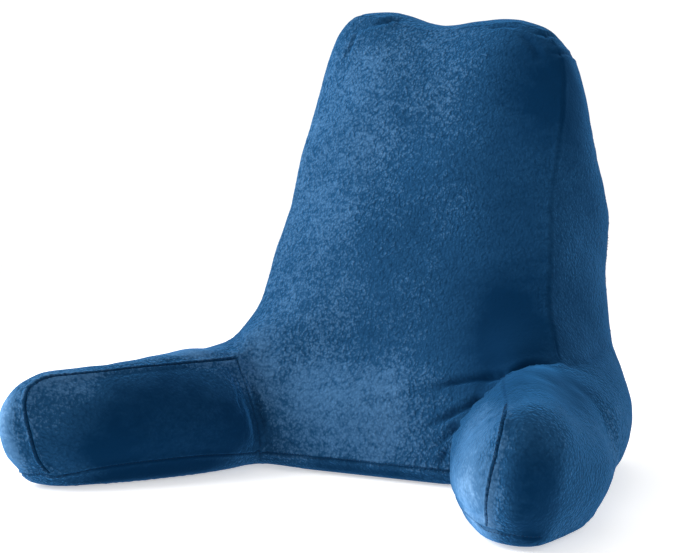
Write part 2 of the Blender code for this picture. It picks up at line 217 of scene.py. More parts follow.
class PillowStage(bpy.types.PropertyGroup):
    """Floor, surroundings and lamps"""
    reach: FloatProperty(name="Reach", description="Radius of the round floor", default=7.0,
                         unit="LENGTH")
    floor: FloatVectorProperty(name="Floor", description="Colour of the floor", subtype="COLOR",
                               size=4, default=(0.93, 0.93, 0.93, 1.0))
    glow: FloatProperty(name="Glow", description="Light that comes up through the floor",
                        default=0.50)
    sky_front: FloatProperty(name="Front", description="Strength of the surroundings in front",
                             default=0.42)
    sky_back: FloatProperty(name="Back", description="Strength of the white wall behind",
                            default=1.05)
    key: FloatProperty(name="Key", description="Power of the large lamp on the left",
                       default=110.0, unit="POWER")
    fill: FloatProperty(name="Fill", description="Power of the lamp on the right", default=9.0,
                        unit="POWER")
    top: FloatProperty(name="Top", description="Power of the lamp above", default=8.0,
                       unit="POWER")


# ---------------------------------------------------------------- the camera's eye

def camera_turn():
    """The camera's rotation: azimuth 0 looks along +Y."""
    return Euler((math.radians(90 - CAMERA_ELEVATION), 0, math.radians(CAMERA_AZIMUTH)))


def pixel_ray(pixel):
    """The way from the camera through a pixel of the picture."""
    across = (pixel[0] - CENTRE_PIXEL[0]) / FOCAL_PIXELS
    down = (pixel[1] - CENTRE_PIXEL[1]) / FOCAL_PIXELS
    return (camera_turn().to_matrix() @ Vector((across, -down, -1))).normalized()


# ---------------------------------------------------------------- lines on the cover

MERGE_GAP = 1e-5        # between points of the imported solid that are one
SEWN_ANGLE = 1.3        # turn of a fully sewn edge, in radians
DULL_PRICE = 9          # what a flat edge costs a seam on top, in times its length
DULL_AWAY = 0.025       # how much farther a place on a flat edge counts than one on a sewn edge
LINE_GAP = 0.002        # from one point of a line on the cover to the next
PIXEL_GAP = 2.0         # and of a line in the picture, in pixels
LINE_SPAN = 10.0        # more than the length of any line, so that no two share a run
SEAM_SOFTENING = 70     # passes that take the kinks out of a seam's line,
PLACE_SOFTENING = 20    # out of a crease's line through places,
PIXEL_SOFTENING = 6     # and out of its line in the picture


def merged_solid():
    """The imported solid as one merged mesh."""
    mesh = bmesh.new()
    mesh.from_mesh(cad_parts[NODE].data)
    bmesh.ops.remove_doubles(mesh, verts=mesh.verts, dist=MERGE_GAP)
    mesh.verts.ensure_lookup_table()
    return mesh


def sharpness(edge):
    """0 on a flat edge to 1 on a sewn one."""
    return min(max(edge.calc_face_angle_signed(0) / SEWN_ANGLE, 0.0), 1.0)


def cheapest_way(start, end):
    """The way along edges from one vertex to another that keeps to sharp edges."""
    cost, came, open_ends = {start: 0.0}, {}, [(0.0, start.index, start)]
    while open_ends:
        so_far, _, vert = heapq.heappop(open_ends)
        if vert is end:
            break
        if so_far > cost[vert]:
            continue
        for edge in vert.link_edges:
            other = edge.other_vert(vert)
            price = so_far + edge.calc_length() * (1 + DULL_PRICE * (1 - sharpness(edge)))
            if price < cost.get(other, math.inf):
                cost[other], came[other] = price, vert
                heapq.heappush(open_ends, (price, other.index, other))
    way = [end]
    while way[-1] is not start:
        way.append(came[way[-1]])
    return [vert.co.copy() for vert in reversed(way)]


def seam_vertex(mesh, place):
    """The vertex on a sewn edge nearest to a place."""
    def score(vert):
        sharp = max(sharpness(edge) for edge in vert.link_edges)
        return (vert.co - place).length + DULL_AWAY * (1 - sharp)

    return min(mesh.verts, key=score)


def evenly(points, gap):
    """A line of points resampled to even gaps, as an array."""
    points = np.array([tuple(point) for point in points])
    run = np.concatenate(([0.0], np.cumsum(np.linalg.norm(np.diff(points, axis=0), axis=1))))
    count = max(2, int(round(run[-1] / gap)) + 1)
    at = np.linspace(0.0, run[-1], count)
    return np.stack([np.interp(at, run, points[:, axis]) for axis in range(3)], axis=1)


def softened(line, passes):
    """A line with its kinks smoothed and its ends kept."""
    line = line.copy()
    for _ in range(passes):
        line[1:-1] = 0.5 * line[1:-1] + 0.25 * (line[:-2] + line[2:])
    return line


def surface_tree(obj):
    """An object's surface, to look up places on it."""
    mesh = bmesh.new()
    mesh.from_mesh(obj.data)
    tree = BVHTree.FromBMesh(mesh)
    mesh.free()
    return tree


def laid(line, tree):
    """A line moved onto the nearest surface."""
    return evenly([tree.find_nearest(Vector(point))[0] for point in line], LINE_GAP)


def seam_lines(mesh):
    """Every seam as (fine, strength, evenly spaced points), laid on the solid."""
    tree = BVHTree.FromBMesh(mesh)
    lines = []
    for _, hands, fine, traced, strength, places in SEAMS:
        for hand in hands:
            points = [Vector((hand * x, y, z)) for x, y, z in places]
            if traced:
                ends = [seam_vertex(mesh, point) for point in points]
                points = []
                for start, end in zip(ends, ends[1:]):
                    points += cheapest_way(start, end)[1 if points else 0:]
            line = softened(evenly(points, LINE_GAP), SEAM_SOFTENING)
            line = evenly(line, LINE_GAP) if traced else laid(line, tree)
            lines.append((fine, strength, line))
    return lines


def place_of(spot, tree):
    """A place as it is, or where a pixel of the picture falls on the surface."""
    if len(spot) == 3:
        return Vector(spot)
    return tree.ray_cast(Vector(CAMERA_AT), pixel_ray(spot))[0]


def crease_lines(tree):
    """Every crease as (depth, width, lip, evenly spaced points), laid on the surface."""
    lines = []
    for _, depth, width, lip, spots in CREASES:
        if len(spots[-1]) == 3:
            path = evenly([place_of(spot, tree) for spot in spots], LINE_GAP)
            line = laid(softened(path, PLACE_SOFTENING), tree)
        else:
            path = softened(evenly([(x, y, 0) for x, y in spots], PIXEL_GAP), PIXEL_SOFTENING)
            hits = [place_of(spot[:2], tree) for spot in path]
            line = evenly([hit for hit in hits if hit is not None], LINE_GAP)
        lines.append((depth / 1000, width / 1000, lip, line))
    return lines


class LineField:
    """Distance from vertices to the nearest of some lines, and what the line says there."""

    def __init__(self, lines, strengths=None):
        self.points = np.concatenate(lines)
        self.along = np.concatenate([np.arange(len(line)) * LINE_GAP + LINE_SPAN * number
                                     for number, line in enumerate(lines)])
        self.share = np.concatenate([np.linspace(0, 1, len(line)) for line in lines])
        strengths = strengths or [1.0] * len(lines)
        self.strength = np.concatenate([np.full(len(line), strength)
                                        for line, strength in zip(lines, strengths)])
        ways = []
        for line in lines:
            way = np.gradient(line, axis=0)
            ways.append(way / np.maximum(np.linalg.norm(way, axis=1), 1e-9)[:, None])
        self.ways = np.concatenate(ways)
        self.tree = kdtree.KDTree(len(self.points))
        for index, point in enumerate(self.points):
            self.tree.insert(point, index)
        self.tree.balance()

    def read(self, places, reach):
        """For each place: distance across the line, place along it, share of it, strength."""
        across = np.full(len(places), reach)
        along = np.zeros(len(places))
        share = np.zeros(len(places))
        strength = np.zeros(len(places))
        for number, place in enumerate(places):
            _, index, distance = self.tree.find(place)
            if distance >= reach:
                continue
            step = place - self.points[index]
            run = float(step @ self.ways[index])
            across[number] = np.linalg.norm(step - run * self.ways[index])
            along[number] = self.along[index] + run
            share[number] = self.share[index]
            strength[number] = self.strength[index]
        return across, along, share, strength


# ---------------------------------------------------------------- the cover's mesh

def coordinates(mesh):
    """A mesh's points as an array."""
    values = np.empty(len(mesh.vertices) * 3)
    mesh.vertices.foreach_get("co", values)
    return values.reshape(-1, 3)


def set_coordinates(mesh, places):
    """Write an array of points back."""
    mesh.vertices.foreach_set("co", places.ravel())
    mesh.update()


def normals(mesh):
    """A mesh's vertex normals as an array."""
    values = np.empty(len(mesh.vertices) * 3)
    mesh.vertex_normals.foreach_get("vector", values)
    return values.reshape(-1, 3)


def waves(places, table):
    """A smooth field between about -1 and 1, as a sum of slow waves."""
    total = np.zeros(len(places))
    for x, y, z, start in table:
        total += np.sin(places @ np.array((x, y, z)) + start)
    return total / len(table)


def smoothed(mesh, places, passes):
    """Points relaxed halfway towards the middle of their neighbours."""
    edges = np.empty(len(mesh.edges) * 2, dtype=int)
    mesh.edges.foreach_get("vertices", edges)
    first, second = edges.reshape(-1, 2).T
    count = np.bincount(np.concatenate((first, second)), minlength=len(places))[:, None]
    for _ in range(passes):
        total = np.zeros_like(places)
        for axis in range(3):
            total[:, axis] = (np.bincount(first, places[second, axis], len(places))
                              + np.bincount(second, places[first, axis], len(places)))
        places = places + 0.5 * (total / count - places)
    return places


def finished(obj):
    """The object's mesh with its modifiers applied, and the modifiers taken off."""
    bpy.context.view_layer.update()
    graph = bpy.context.evaluated_depsgraph_get()
    made = bpy.data.meshes.new_from_object(obj.evaluated_get(graph))
    obj.modifiers.clear()
    obj.data = made
    return made


def new_object(name, mesh):
    """A new object in the scene."""
    obj = bpy.data.objects.new(name, mesh)
    bpy.context.scene.collection.objects.link(obj)
    return obj


def remeshed_cover(solid, cell):
    """The solid's surface as even quads."""
    mesh = bpy.data.meshes.new("velour_cover")
    solid.to_mesh(mesh)
    cover = new_object("velour_cover", mesh)
    remesh = cover.modifiers.new("cells", "REMESH")
    remesh.mode = "VOXEL"
    remesh.voxel_size = cell
    finished(cover)
    return cover


HELD_LEAST = 0.02       # share from which a point counts as held
CLOTH_QUALITY = 5       # steps of the simulation in a frame


def stuff(cover, held, settings):
    """Fill the cover with the cloth simulation, its seams and its underside held."""
    before = coordinates(cover.data)
    group = cover.vertex_groups.new(name="held")
    for index in np.nonzero(held > HELD_LEAST)[0]:
        group.add([int(index)], float(held[index]), "REPLACE")
    cloth = cover.modifiers.new("stuffing", "CLOTH")
    cloth.settings.use_pressure = True
    cloth.settings.uniform_pressure_force = settings.pressure
    cloth.settings.vertex_group_mass = "held"
    cloth.settings.shrink_min = -settings.slack
    cloth.settings.quality = CLOTH_QUALITY
    cloth.settings.effector_weights.gravity = 0.0
    cloth.point_cache.frame_start = 1
    cloth.point_cache.frame_end = settings.steps
    scene = bpy.context.scene
    for step in range(1, settings.steps + 1):
        scene.frame_set(step)
    finished(cover)
    scene.frame_set(1)
    cover.vertex_groups.clear()
    moved = coordinates(cover.data) - before
    length = np.linalg.norm(moved, axis=1)[:, None]
    limit = settings.swell_limit
    return before + moved * (limit * np.tanh(length / limit) / np.maximum(length, 1e-9))


def cut_finer(cover, away, reach):
    """Divide the edges whose two points are both less than reach away from a line."""
    mesh = bmesh.new()
    mesh.from_mesh(cover.data)
    near = away < reach
    edges = [edge for edge in mesh.edges
             if near[edge.verts[0].index] and near[edge.verts[1].index]]
    bmesh.ops.subdivide_edges(mesh, edges=edges, cuts=1, use_grid_fill=True, smooth=0.0)
    mesh.to_mesh(cover.data)
    mesh.free()
    cover.data.update()


FIRST_SMOOTHING = 9     # smoothing passes after the remesh,
STUFFED_SMOOTHING = 3   # after the simulation,
FINE_SMOOTHING = 2      # and after the mesh is cut finer
SEAM_REACH = 0.03       # farthest that a seam is looked for,
CREASE_REACH = 0.04     # and a crease
HELD_WIDTH = 0.006      # beside a seam, and above the floor, where the simulation holds the cloth
HELD_HEIGHT = 0.004
FINE_REACHES = (0.0110, 0.0056)     # how far from a seam or crease the mesh is cut once, twice

# Gathers beside the seams, and the uneven filling: waves in radians per metre.
GATHERS = ((410, 0.3), (233, 1.9), (587, 4.1))
FILLING = ((34, 12, 41, 0.2), (-27, 38, 19, 1.4), (52, -21, -33, 2.6), (-45, -49, 27, 3.9),
           (18, 61, -46, 5.3))
FILLING_HEIGHT = 0.0011
SMALL_LUMPS = ((151, 60, 113, 0.9), (-97, 142, 61, 2.2), (77, -103, 149, 3.3),
               (-131, -83, -121, 4.7), (49, 167, -91, 5.9))
SMALL_HEIGHT = 0.00042
FILLING_FADE = 0.012    # from a seam, where the filling's waves die out,
FLOOR_FADE = 0.010      # and above the floor, where every lift does
FLOOR_SKIN = 0.0008     # height under which the cover rests on the floor

# A seam's profile.  Widths of ridge and groove are shares of the ridge's offset.
RIDGE_WIDTH, GROOVE_WIDTH = 0.62, 0.5
UNEVEN = 0.10           # how much the ridge's height wavers, as a share
UNEVEN_WAVES = (61, 143)
HOLLOW, HOLLOW_AWAY, HOLLOW_WIDTH = 0.45, 0.0085, 0.004     # the cloth drawn in by the seam
GATHER_AWAY, GATHER_WIDTH = 0.007, 0.008

# Painted highlight on a seam's ridges, and painted shade in its groove and in a deep crease.
RIDGE_HIGHLIGHT, GROOVE_SHADOW, CREASE_SHADOW = 0.25, 1.10, 0.55
LIGHT_AWAY, DARK_WIDTH = 1.3, 0.48
SEWN_POWER = 1.5        # a weak seam is shaded less than its strength

CREASE_EDGE = 1.3       # 1 for a sharp crease, 2 for a soft one
CREASE_DEEP = 0.008     # depth of a crease that presses a seam flat
CREASE_TAPER, CREASE_END = 5, 0.1       # how fast a crease deepens, and its share at the ends
LIP_AWAY = 1.9          # from a crease to its lips, in widths


def bell(away, width, centre=0.0):
    """1 at the centre, falling to 0 on both sides."""
    return np.exp(-((away - centre) / width) ** 2)


def pushed(places):
    """The points after the soft moves."""
    moved = places.copy()
    for _, hands, (x, y, z), radius, (right, back, up) in PUSHES:
        for hand in hands:
            away = np.linalg.norm(places - np.array((hand * x, y, z)), axis=1)
            moved += bell(away, radius)[:, None] * np.array((hand * right, back, up))
    return moved


def painted_seam_light(across, strength, settings):
    """Painted light beside a seam: painted shade in the groove and painted highlight on the
    ridges.
    """
    offset = settings.ridge_offset
    ridge = bell(across, offset, LIGHT_AWAY * offset)
    groove = bell(across, DARK_WIDTH * offset)
    return strength ** SEWN_POWER * (RIDGE_HIGHLIGHT * ridge - GROOVE_SHADOW * groove)


def seam_profile(across, along, strength, settings):
    """Height of the cover beside a seam: a stitched groove between two soft ridges."""
    offset = settings.ridge_offset
    slow, fast = UNEVEN_WAVES
    uneven = 1 + UNEVEN * np.sin(along * slow) * np.sin(along * fast + 1.0)
    ridge = settings.ridge * uneven * bell(across, RIDGE_WIDTH * offset, offset)
    groove = settings.groove * bell(across, GROOVE_WIDTH * offset)
    hollow = HOLLOW * settings.ridge * bell(across, HOLLOW_WIDTH, HOLLOW_AWAY)
    gather = sum(np.sin(along * rate + start) for rate, start in GATHERS) / len(GATHERS)
    fade = bell(across, GATHER_WIDTH, GATHER_AWAY)
    return strength * (ridge - groove - hollow + settings.pucker * gather * fade)


def crease_profile(away, share, width):
    """A crease's trough and the lips beside it, both tapered towards its ends."""
    taper = (np.clip(CREASE_TAPER * share + CREASE_END, 0, 1)
             * np.clip(CREASE_TAPER * (1 - share) + CREASE_END, 0, 1))
    trough = np.exp(-(away / width) ** CREASE_EDGE)
    return taper * trough, taper * bell(away, width, LIP_AWAY * width)


def make_cover(settings):
    """The finished cover."""
    solid = merged_solid()
    seams = seam_lines(solid)
    creases = crease_lines(BVHTree.FromBMesh(solid))
    cover = remeshed_cover(solid, settings.cell)
    solid.free()
    strengths = [strength for _, strength, _ in seams]
    field = LineField([line for _, _, line in seams], strengths)

    places = smoothed(cover.data, coordinates(cover.data), FIRST_SMOOTHING)
    across = field.read(places, SEAM_REACH)[0]
    rests = np.clip(1 - places[:, 2] / HELD_HEIGHT, 0, 1)
    held = np.maximum(bell(across, HELD_WIDTH), rests)
    set_coordinates(cover.data, places)
    if settings.simulate:
        places = smoothed(cover.data, stuff(cover, held, settings), STUFFED_SMOOTHING)
        set_coordinates(cover.data, places)

    fine = LineField([line for cut, _, line in seams if cut] + [line for *_, line in creases])
    for reach in FINE_REACHES:
        cut_finer(cover, fine.read(coordinates(cover.data), SEAM_REACH)[0], reach)
    places = smoothed(cover.data, coordinates(cover.data), FINE_SMOOTHING)
    set_coordinates(cover.data, places)

    tree = surface_tree(cover)
    field = LineField([laid(line, tree) for _, _, line in seams], strengths)
    across, along, _, strength = field.read(places, SEAM_REACH)
    lift = FILLING_HEIGHT * waves(places, FILLING) + SMALL_HEIGHT * waves(places, SMALL_LUMPS)
    lift = lift * np.clip(across / FILLING_FADE, 0, 1)
    pressed = np.zeros(len(places))
    for depth, width, lip, line in creases:
        away, _, share, _ = LineField([laid(line, tree)]).read(places, CREASE_REACH)
        trough, lips = crease_profile(away, share, width)
        lift = lift - depth * (trough - lip * lips)
        pressed = np.maximum(pressed, min(depth / CREASE_DEEP, 1) * trough)
    lift = lift + (1 - pressed) * seam_profile(across, along, strength, settings)
    lift = lift * np.clip(places[:, 2] / FLOOR_FADE, 0, 1)
    places = pushed(places + normals(cover.data) * lift[:, None])
    places[:, 2] = np.where(places[:, 2] < FLOOR_SKIN, 0.0, places[:, 2])
    set_coordinates(cover.data, places)
    # painted shade in the seams' grooves and in the creases, and painted highlight on the seams'
    # ridges
    sewn = cover.data.attributes.new("sewn", "FLOAT", "POINT")
    shade = (1 - pressed) * painted_seam_light(across, strength, settings) - CREASE_SHADOW * pressed
    sewn.data.foreach_set("value", shade)
    cover.data.shade_smooth()
    return cover


# ---------------------------------------------------------------- materials

def link(tree, start, end):
    """Join two sockets."""
    tree.links.new(start, end)


def node(tree, kind, inputs=None, **values):
    """A new node with its properties and its inputs' own values set."""
    made = tree.nodes.new(kind)
    for name, value in values.items():
        setattr(made, name, value)
    for name, value in (inputs or {}).items():
        made.inputs[name].default_value = value
    return made


def new_material(name, inputs):
    """A new material's nodes and their Principled BSDF, with its inputs set."""
    material = bpy.data.materials.new(name)
    material.use_nodes = True
    shader = material.node_tree.nodes["Principled BSDF"]
    for key, value in inputs.items():
        shader.inputs[key].default_value = value
    return material, material.node_tree, shader


def noise_ramp(tree, shader, scale, detail, colours):
    """Paint the base colour between two colours with a noise on the piece's own place."""
    place = node(tree, "ShaderNodeTexCoord")
    noise = node(tree, "ShaderNodeTexNoise", {"Scale": scale, "Detail": detail})
    ramp = node(tree, "ShaderNodeValToRGB")
    for element, colour in zip(ramp.color_ramp.elements, colours):
        element.color = colour
    link(tree, place.outputs["Object"], noise.inputs["Vector"])
    link(tree, noise.outputs["Fac"], ramp.inputs["Fac"])
    link(tree, ramp.outputs["Color"], shader.inputs["Base Color"])


def group_sockets(tree, ins, outs):
    """Make a group's sockets: name, kind and default."""
    for name, kind, default in ins:
        socket = tree.interface.new_socket(name=name, in_out="INPUT", socket_type=kind)
        if default is not None:
            socket.default_value = default
    for name, kind in outs:
        tree.interface.new_socket(name=name, in_out="OUTPUT", socket_type=kind)


# Painted light and shade of the pile, lighter above 0 or darker, each in an ellipsoid about a
# place: mostly they stand in for the light and shade on the pillow, such as the painted shade
# under the feet, on the left arm's inner side and on the right arm's tip and the painted light on
# the right arm's inner side, and partly they follow the way the nap is brushed.
# core: the share of the ellipsoid that has the whole shade, before it fades to the edge.
#    name              x       y       z       wide   deep   high   core  shade
NAP_AND_PAINTED_LIGHT = (
    ("front_right", 0.200, 0.090, 0.320, 0.200, 0.400, 0.480, 0.20, -0.22),
    ("front_right_low", 0.185, 0.040, 0.190, 0.100, 0.140, 0.150, 0.20, -0.32),
    ("front_right_top", 0.165, 0.200, 0.510, 0.130, 0.140, 0.130, 0.20, -0.36),
    ("front_left", -0.160, 0.090, 0.400, 0.180, 0.300, 0.380, 0.20, 0.09),
    ("front_middle", -0.010, 0.100, 0.330, 0.100, 0.200, 0.130, 0.20, -0.08),
    ("front_low", -0.030, -0.010, 0.085, 0.200, 0.130, 0.120, 0.30, 0.16),
    ("front_foot", 0.000, -0.020, 0.000, 0.200, 0.070, 0.026, 0.25, -0.50),
    ("left_inner", -0.245, -0.120, 0.065, 0.140, 0.180, 0.088, 0.62, -0.46),
    ("left_inner_end", -0.305, -0.240, 0.135, 0.080, 0.100, 0.050, 0.20, 0.10),
    ("left_root", -0.185, 0.010, 0.140, 0.060, 0.070, 0.110, 0.25, 0.10),
    ("left_inner_low", -0.300, -0.230, 0.040, 0.080, 0.110, 0.050, 0.40, -0.25),
    ("left_foot", -0.240, -0.180, 0.000, 0.130, 0.160, 0.028, 0.25, -0.50),
    ("left_tip", -0.360, -0.305, 0.080, 0.045, 0.070, 0.110, 0.20, 0.36),
    ("left_band", -0.270, -0.120, 0.168, 0.120, 0.200, 0.024, 0.25, 0.24),
    ("right_inner", 0.278, -0.268, 0.050, 0.085, 0.120, 0.140, 0.10, 0.34),
    ("right_inner_top", 0.240, -0.180, 0.120, 0.070, 0.100, 0.060, 0.20, 0.20),
    ("right_tip", 0.370, -0.305, 0.060, 0.044, 0.060, 0.095, 0.30, -0.50),
    ("right_tip_low", 0.350, -0.300, 0.000, 0.055, 0.060, 0.050, 0.40, -0.45),
    ("right_band", 0.300, -0.090, 0.165, 0.090, 0.150, 0.070, 0.40, -0.44),
    ("right_side", 0.400, -0.130, 0.060, 0.070, 0.220, 0.110, 0.40, -0.10),
)
REST_SHADE = 0.5        # the pile's shade where nothing lightens or darkens it
CLOUD_SHADE = 0.36      # how much the clouds, streaks and tufts do,
STREAK_SHADE = 0.22
TUFT_SHADE = 0.46
SEAM_LIGHT_WEIGHT = 0.45       # and the painted shade and highlight of the seams and creases
WANDER_SCALE = 11.0     # the patches' edges wander with a slow noise, so far
WANDER = (0.05, 0.05, 0.05)
STREAK_TURN, STREAK_STRETCH = (0.3, -0.5, 0.9), (0.5, 1.0, 1.3)
STREAKS = 7.0           # streaks to each cloud
TUFT_ROUND = 0.35       # how softly the domes of the tufts run into each other,
TUFT_TOP = 0.50         # their height above the gaps between them,
TUFT_NOISE = 0.6        # and the size of the noise on them, as a share of the tufts'
CRIMP_SCALE = 210.0     # the tufts are bent by a fine noise, so far
CRIMP = (0.005, 0.005, 0.005)
DARK_TUFTS = ((0.00, 0.15), (0.45, 1.0))    # share of the tufts that shows, from a dark shade up
SHINY_TUFTS = ((0.56, 1.0), (0.80, 0.22))   # and from a light one to where the painted sheen is


def nap_group():
    """Masks of a velour's pile: its shade, with painted light and shade from the patches, seams
    and creases, and the height of its tufts.
    """
    tree = bpy.data.node_groups.new("velour_nap", "ShaderNodeTree")
    group_sockets(tree,
                  (("Place", "NodeSocketVector", None), ("Sewn", "NodeSocketFloat", 0.0),
                   ("Tuft", "NodeSocketFloat", TUFT_SIZE),
                   ("Cloud", "NodeSocketFloat", CLOUD_SIZE)),
                  (("Shade", "NodeSocketFloat"), ("Height", "NodeSocketFloat")))
    ends = node(tree, "NodeGroupInput")
    out = node(tree, "NodeGroupOutput")
    place = ends.outputs["Place"]

    def math_node(operation, *values):
        """A math node; each value is a number or a socket."""
        made = node(tree, "ShaderNodeMath", operation=operation)
        for number, value in enumerate(values):
            if isinstance(value, (int, float)):
                made.inputs[number].default_value = value
            else:
                link(tree, value, made.inputs[number])
        return made.outputs[0]

    def noise(size, factor, detail, distortion, vector=place):
        """A noise from about -0.2 to 0.2, factor to each size."""
        made = node(tree, "ShaderNodeTexNoise", {"Detail": detail, "Distortion": distortion})
        link(tree, vector, made.inputs["Vector"])
        link(tree, math_node("DIVIDE", factor, size), made.inputs["Scale"])
        return math_node("SUBTRACT", made.outputs["Fac"], 0.5)

    def moved(scale, detail, amount, centre):
        """The place moved by a coloured noise, by the amount in each direction."""
        made = node(tree, "ShaderNodeTexNoise", {"Scale": scale, "Detail": detail})
        centred = node(tree, "ShaderNodeVectorMath", {1: centre}, operation="SUBTRACT")
        shift = node(tree, "ShaderNodeVectorMath", {1: amount}, operation="MULTIPLY_ADD")
        link(tree, place, made.inputs["Vector"])
        link(tree, made.outputs["Color"], centred.inputs[0])
        link(tree, centred.outputs[0], shift.inputs[0])
        link(tree, place, shift.inputs[2])
        return shift.outputs[0]

    def brushed(centre, radii, core, amount):
        """A soft patch, the whole amount in its core and 0 from its radii on."""
        away = node(tree, "ShaderNodeVectorMath", {1: centre}, operation="SUBTRACT")
        scaled = node(tree, "ShaderNodeVectorMath", {1: radii}, operation="DIVIDE")
        length = node(tree, "ShaderNodeVectorMath", operation="LENGTH")
        fall = node(tree, "ShaderNodeMapRange",
                    {"From Min": 1.0, "From Max": core, "To Min": 0.0, "To Max": amount},
                    interpolation_type="SMOOTHSTEP")
        link(tree, warped, away.inputs[0])
        link(tree, away.outputs[0], scaled.inputs[0])
        link(tree, scaled.outputs[0], length.inputs[0])
        link(tree, length.outputs["Value"], fall.inputs["Value"])
        return fall.outputs["Result"]

    def between(value, start, end):
        """A value's share on the line between two (from, to) points, and level beyond them."""
        made = node(tree, "ShaderNodeMapRange", {"From Min": start[0], "From Max": end[0],
                                                 "To Min": start[1], "To Max": end[1]})
        link(tree, value, made.inputs["Value"])
        return made.outputs["Result"]

    warped = moved(WANDER_SCALE, 2.0, WANDER, (0.5, 0.5, 0.5))
    stretch = node(tree, "ShaderNodeMapping", {"Rotation": STREAK_TURN, "Scale": STREAK_STRETCH})
    link(tree, place, stretch.inputs["Vector"])
    cloud = noise(ends.outputs["Cloud"], 1.0, 2.0, 0.3)
    streak = noise(ends.outputs["Cloud"], STREAKS, 2.0, 0.5, stretch.outputs["Vector"])
    shade = math_node("MULTIPLY_ADD", cloud, CLOUD_SHADE, REST_SHADE)
    shade = math_node("MULTIPLY_ADD", streak, STREAK_SHADE, shade)
    # painted shade of the seams' grooves and the creases, and painted highlight on the ridges
    shade = math_node("MULTIPLY_ADD", ends.outputs["Sewn"], SEAM_LIGHT_WEIGHT, shade)
    # painted light and shade from the patches, together with the nap's brushing
    for _, x, y, z, wide, deep, high, core, amount in NAP_AND_PAINTED_LIGHT:
        shade = math_node("ADD", shade, brushed((x, y, z), (wide, deep, high), core, amount))

    # the tufts show where the pile stands, less in dark shade, painted shade included, and in the
    # painted sheen
    domes = node(tree, "ShaderNodeTexVoronoi", {"Smoothness": TUFT_ROUND}, feature="SMOOTH_F1")
    link(tree, moved(CRIMP_SCALE, 1.0, CRIMP, (0.0, 0.0, 0.0)), domes.inputs["Vector"])
    link(tree, math_node("DIVIDE", 1.0, ends.outputs["Tuft"]), domes.inputs["Scale"])
    tuft = math_node("SUBTRACT", TUFT_TOP, domes.outputs["Distance"])
    tuft = math_node("ADD", tuft, noise(ends.outputs["Tuft"], TUFT_NOISE, 1.0, 0.4))
    height = math_node("MULTIPLY", tuft, between(shade, *DARK_TUFTS))
    height = math_node("MULTIPLY", height, between(shade, *SHINY_TUFTS))
    height = math_node("MULTIPLY", height, math_node("ADD", cloud, 0.85))
    link(tree, math_node("MULTIPLY_ADD", height, TUFT_SHADE, shade), out.inputs["Shade"])
    link(tree, height, out.inputs["Height"])
    return tree


BUMP = {"Strength": 0.8, "Distance": 0.0028}
SHEEN_TINT = (0.07, 0.42, 1.0, 1.0)


def velour_material(settings):
    """Blue plush: painted shade and painted light in its colour, and light where it is seen edge
    on.
    """
    material, tree, shader = new_material(
        "velour_pile", {"Roughness": 0.92, "Specular IOR Level": 0.04, "Sheen Roughness": 0.40,
                        "Sheen Weight": settings.sheen, "Sheen Tint": SHEEN_TINT})
    place = node(tree, "ShaderNodeTexCoord")
    # the sewn attribute holds the painted shade of grooves and creases and the painted highlight
    # of ridges
    sewn = node(tree, "ShaderNodeAttribute", attribute_name="sewn")
    nap = node(tree, "ShaderNodeGroup", node_tree=nap_group())
    nap.inputs["Tuft"].default_value = settings.nap
    nap.inputs["Cloud"].default_value = settings.cloud
    link(tree, place.outputs["Object"], nap.inputs["Place"])
    link(tree, sewn.outputs["Fac"], nap.inputs["Sewn"])

    # ramp from the painted-shade colour through the pile at rest to the painted light and painted
    # sheen
    patches = node(tree, "ShaderNodeValToRGB")
    first, last = patches.color_ramp.elements
    first.color, last.color = settings.deep, settings.painted_sheen
    patches.color_ramp.elements.new(0.5).color = settings.middle
    patches.color_ramp.elements.new(0.8).color = settings.brushed
    link(tree, nap.outputs["Shade"], patches.inputs["Fac"])
    link(tree, patches.outputs["Color"], shader.inputs["Base Color"])

    bump = node(tree, "ShaderNodeBump", BUMP)
    link(tree, nap.outputs["Height"], bump.inputs["Height"])
    link(tree, bump.outputs["Normal"], shader.inputs["Normal"])
    return material


def thread_material():
    """Dark blue sewing thread, twisted."""
    material, tree, shader = new_material("sewing_thread",
                                          {"Roughness": 0.75, "Specular IOR Level": 0.15})
    noise_ramp(tree, shader, 900.0, 2.0,
               ((0.001, 0.010, 0.035, 1), (0.003, 0.026, 0.080, 1)))
    return material


def floor_material(colour, glow):
    """Plain pale paper on a table that is lit from below."""
    material, tree, shader = new_material(
        "pale_floor", {"Roughness": 0.8, "Emission Color": (1, 1, 1, 1),
                       "Emission Strength": glow})
    darker = tuple(0.985 * value for value in colour[:3]) + (1,)
    noise_ramp(tree, shader, 6.0, 2.0, (darker, colour))
    return material


# ---------------------------------------------------------------- stitches by geometry nodes

